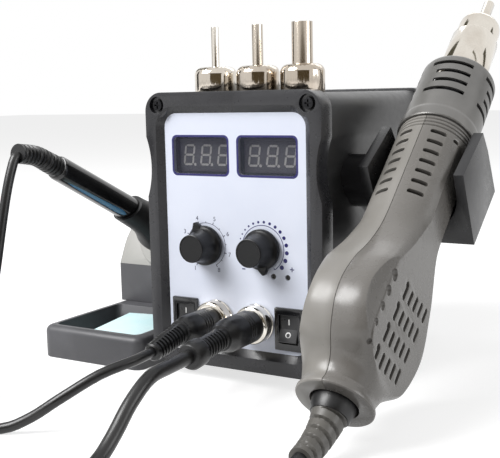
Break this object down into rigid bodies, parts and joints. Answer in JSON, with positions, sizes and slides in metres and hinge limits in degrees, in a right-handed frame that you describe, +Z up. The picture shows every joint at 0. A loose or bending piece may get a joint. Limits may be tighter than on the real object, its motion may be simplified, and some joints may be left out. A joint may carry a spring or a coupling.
{
  "type": "hot air rework station",
  "caption": "Small electronics rework station with a hot air handle in a side cradle, a soldering iron on a stand with a sponge tray, display panel, dials and spare nozzles.",
  "frame": {"origin": "middle of the footprint of the case, the handle in its cradle and the stand, on the table", "axes": "+X to the right as seen from the front, +Y to the back, +Z up; the panel faces -Y"},
  "size_m": [0.2785, 0.3429, 0.1924],
  "materials": {
    "case_coat": "satin",
    "frame_plastic": "satin",
    "panel_print": "satin",
    "black_gloss": "glossy",
    "black_plastic": "matt",
    "handle_plastic": "satin",
    "cap_metal": "satin",
    "cord_rubber": "matt",
    "foot_rubber": "matt",
    "nozzle_chrome": "polished",
    "bright_metal": "brushed",
    "screw_steel": "blackened",
    "smoked_window": "glossy",
    "display_face": "glossy",
    "board_green": "satin",
    "core_iron": "varnished",
    "heater_ceramic": "matt",
    "plain_steel": "plain",
    "trimmer_brass": "plain",
    "grip_rubber": "matt",
    "tip_copper": "plain",
    "stand_plastic": "satin",
    "sponge_foam": "damp"
  },
  "bodies": {
    "station": {"case_sleeve": "case_coat", "front_bezel": "frame_plastic", "faceplate": "panel_print", "rear_frame": "frame_plastic", "rear_panel": "case_coat", "case_screws": "screw_steel", "feet": "foot_rubber", "main_board": "board_green", "transformer": "core_iron", "mains_inlet": "black_plastic", "display_windows": "smoked_window", "display_modules": "display_face", "control_board": "board_green", "potentiometers": "plain_steel", "switch_housings": "black_gloss", "panel_sockets": "bright_metal", "iron_plug": "cord_rubber", "air_plug": "cord_rubber", "nozzle_posts": "black_plastic", "cradle": "frame_plastic", "cradle_screws": "plain_steel", "cradle_magnet": "plain_steel", "stand_base": "stand_plastic", "stand_column": "stand_plastic", "holder_liner": "stand_plastic", "iron_cord_lead": "cord_rubber", "iron_cord_coil": "cord_rubber", "air_cord_lead": "cord_rubber", "air_cord_coil": "cord_rubber"},
    "air_dial": {"air_knob": "black_plastic", "air_shaft": "plain_steel"},
    "heat_dial": {"heat_knob": "black_plastic", "heat_shaft": "plain_steel"},
    "iron_switch": {"iron_rocker": "black_gloss"},
    "air_switch": {"air_rocker": "black_gloss"},
    "left_trimmer": {"left_trimmer_screw": "trimmer_brass"},
    "right_trimmer": {"right_trimmer_screw": "trimmer_brass"},
    "iron_ring": {"iron_plug_ring": "bright_metal"},
    "air_ring": {"air_plug_ring": "bright_metal"},
    "narrow_nozzle": {"narrow_spare_nozzle": "nozzle_chrome"},
    "medium_nozzle": {"medium_spare_nozzle": "nozzle_chrome"},
    "wide_nozzle": {"wide_spare_nozzle": "nozzle_chrome"},
    "hot_air_handle": {"handle_left_shell": "handle_plastic", "handle_right_shell": "handle_plastic", "slotted_cap": "cap_metal", "heater_tube": "nozzle_chrome", "heater_core": "heater_ceramic", "fan_motor": "plain_steel", "handle_tail_relief": "cord_rubber", "air_cord_tail": "cord_rubber"},
    "fan": {"fan_impeller": "black_plastic"},
    "nozzle_in_use": {"fitted_nozzle": "nozzle_chrome"},
    "iron": {"iron_handle": "black_gloss", "iron_grip": "grip_rubber", "iron_barrel": "bright_metal", "iron_tip": "tip_copper", "iron_relief": "cord_rubber", "iron_cord_rise": "cord_rubber"},
    "loose_sponge": {"sponge": "sponge_foam"}
  },
  "joints": [
    {"name": "air_knob_turn", "type": "hinge", "parent": "station", "child": "air_dial", "pos_m": [-0.00835, -0.03581, 0.0693], "axis": [0, 1, 0], "range_deg": [-128.6, 171.4]},
    {"name": "heat_knob_turn", "type": "hinge", "parent": "station", "child": "heat_dial", "pos_m": [0.02425, -0.03581, 0.0693], "axis": [0, 1, 0], "range_deg": [-300, 0]},
    {"name": "iron_switch_rock", "type": "hinge", "parent": "station", "child": "iron_switch", "pos_m": [-0.02165, -0.03481, 0.0311], "axis": [1, 0, 0], "range_deg": [0, 22]},
    {"name": "air_switch_rock", "type": "hinge", "parent": "station", "child": "air_switch", "pos_m": [0.03835, -0.03481, 0.0311], "axis": [1, 0, 0], "range_deg": [0, 22]},
    {"name": "left_trimmer_turn", "type": "hinge", "parent": "station", "child": "left_trimmer", "pos_m": [0.02995, -0.03581, 0.0563], "axis": [0, 1, 0], "range_deg": [-135, 135]},
    {"name": "right_trimmer_turn", "type": "hinge", "parent": "station", "child": "right_trimmer", "pos_m": [0.03775, -0.03581, 0.0563], "axis": [0, 1, 0], "range_deg": [-135, 135]},
    {"name": "iron_ring_turn", "type": "hinge", "parent": "station", "child": "iron_ring", "pos_m": [-0.00265, -0.03581, 0.0326], "axis": [0, -1, 0], "range_deg": [0, 720]},
    {"name": "air_ring_turn", "type": "hinge", "parent": "station", "child": "air_ring", "pos_m": [0.02055, -0.03581, 0.0326], "axis": [0, -1, 0], "range_deg": [0, 720]},
    {"name": "narrow_nozzle_lift", "type": "slide", "parent": "station", "child": "narrow_nozzle", "axis": [0, 0, 1], "range_m": [0, 0.03]},
    {"name": "medium_nozzle_lift", "type": "slide", "parent": "station", "child": "medium_nozzle", "axis": [0, 0, 1], "range_m": [0, 0.03]},
    {"name": "wide_nozzle_lift", "type": "slide", "parent": "station", "child": "wide_nozzle", "axis": [0, 0, 1], "range_m": [0, 0.03]},
    {"name": "handle_lift", "type": "slide", "parent": "station", "child": "hot_air_handle", "axis": [0, 0, 1], "range_m": [0, 0.05]},
    {"name": "fan_spin", "type": "hinge", "parent": "hot_air_handle", "child": "fan", "pos_m": [0.09135, -0.06844, 0.04446], "axis": [1, 0, 0], "continuous": true},
    {"name": "nozzle_pull", "type": "slide", "parent": "hot_air_handle", "child": "nozzle_in_use", "axis": [0, 0.7632, 0.6461], "range_m": [0, 0.02]},
    {"name": "iron_pull", "type": "slide", "parent": "station", "child": "iron", "axis": [0, -0.8988, 0.4384], "range_m": [0, 0.052]},
    {"name": "sponge_lift", "type": "slide", "parent": "station", "child": "loose_sponge", "axis": [0, 0, 1], "range_m": [0, 0.02]}
  ]
}
